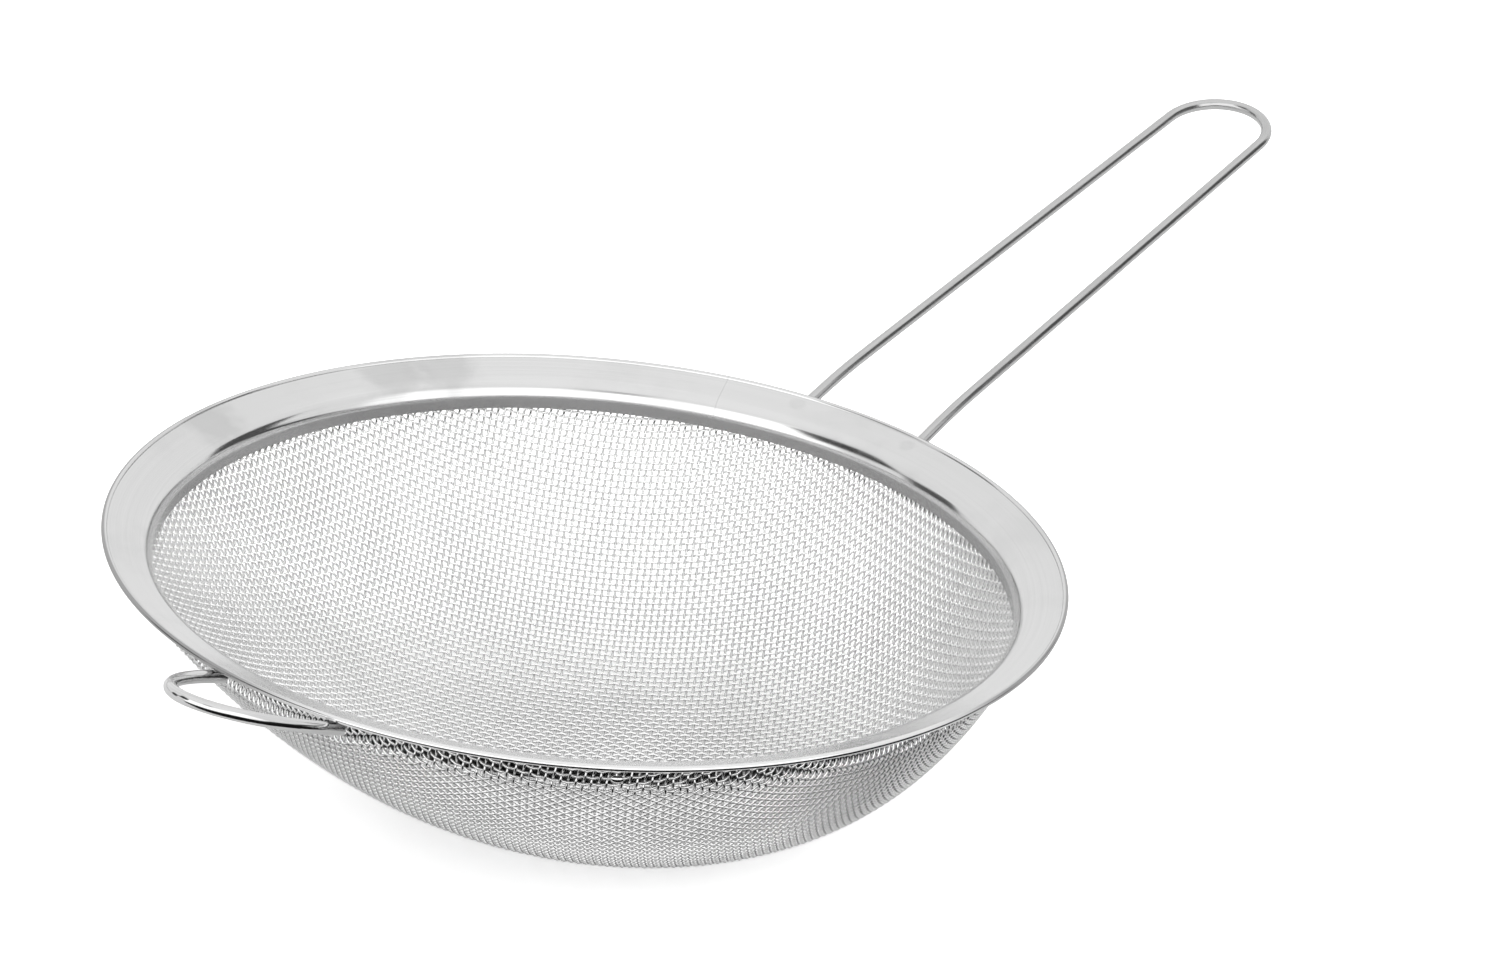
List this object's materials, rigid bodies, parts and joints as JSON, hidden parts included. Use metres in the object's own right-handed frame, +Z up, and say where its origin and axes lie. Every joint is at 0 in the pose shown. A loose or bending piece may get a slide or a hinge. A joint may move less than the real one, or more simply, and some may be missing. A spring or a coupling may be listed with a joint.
{
  "type": "mesh strainer",
  "caption": "Round kitchen strainer: a pressed steel rim carries a deep bowl of woven wire, a long bent-wire handle and a short wire rest hook.",
  "frame": {"origin": "middle of the small flat at the bottom of the bowl, on the surface that the strainer stands on", "axes": "+Z up, square to the rim; +X along the handle, away from the bowl; the rest hook points to -X"},
  "size_m": [0.4176, 0.22, 0.1033],
  "materials": {
    "rim_steel": "satin polished pressed sheet",
    "cloth_steel": "bright drawn wire, woven",
    "wire_steel": "polished drawn wire"
  },
  "bodies": {
    "root": {"rim": "rim_steel", "mesh_bowl": "cloth_steel", "handle": "wire_steel", "rest_hook": "wire_steel"}
  },
  "joints": []
}
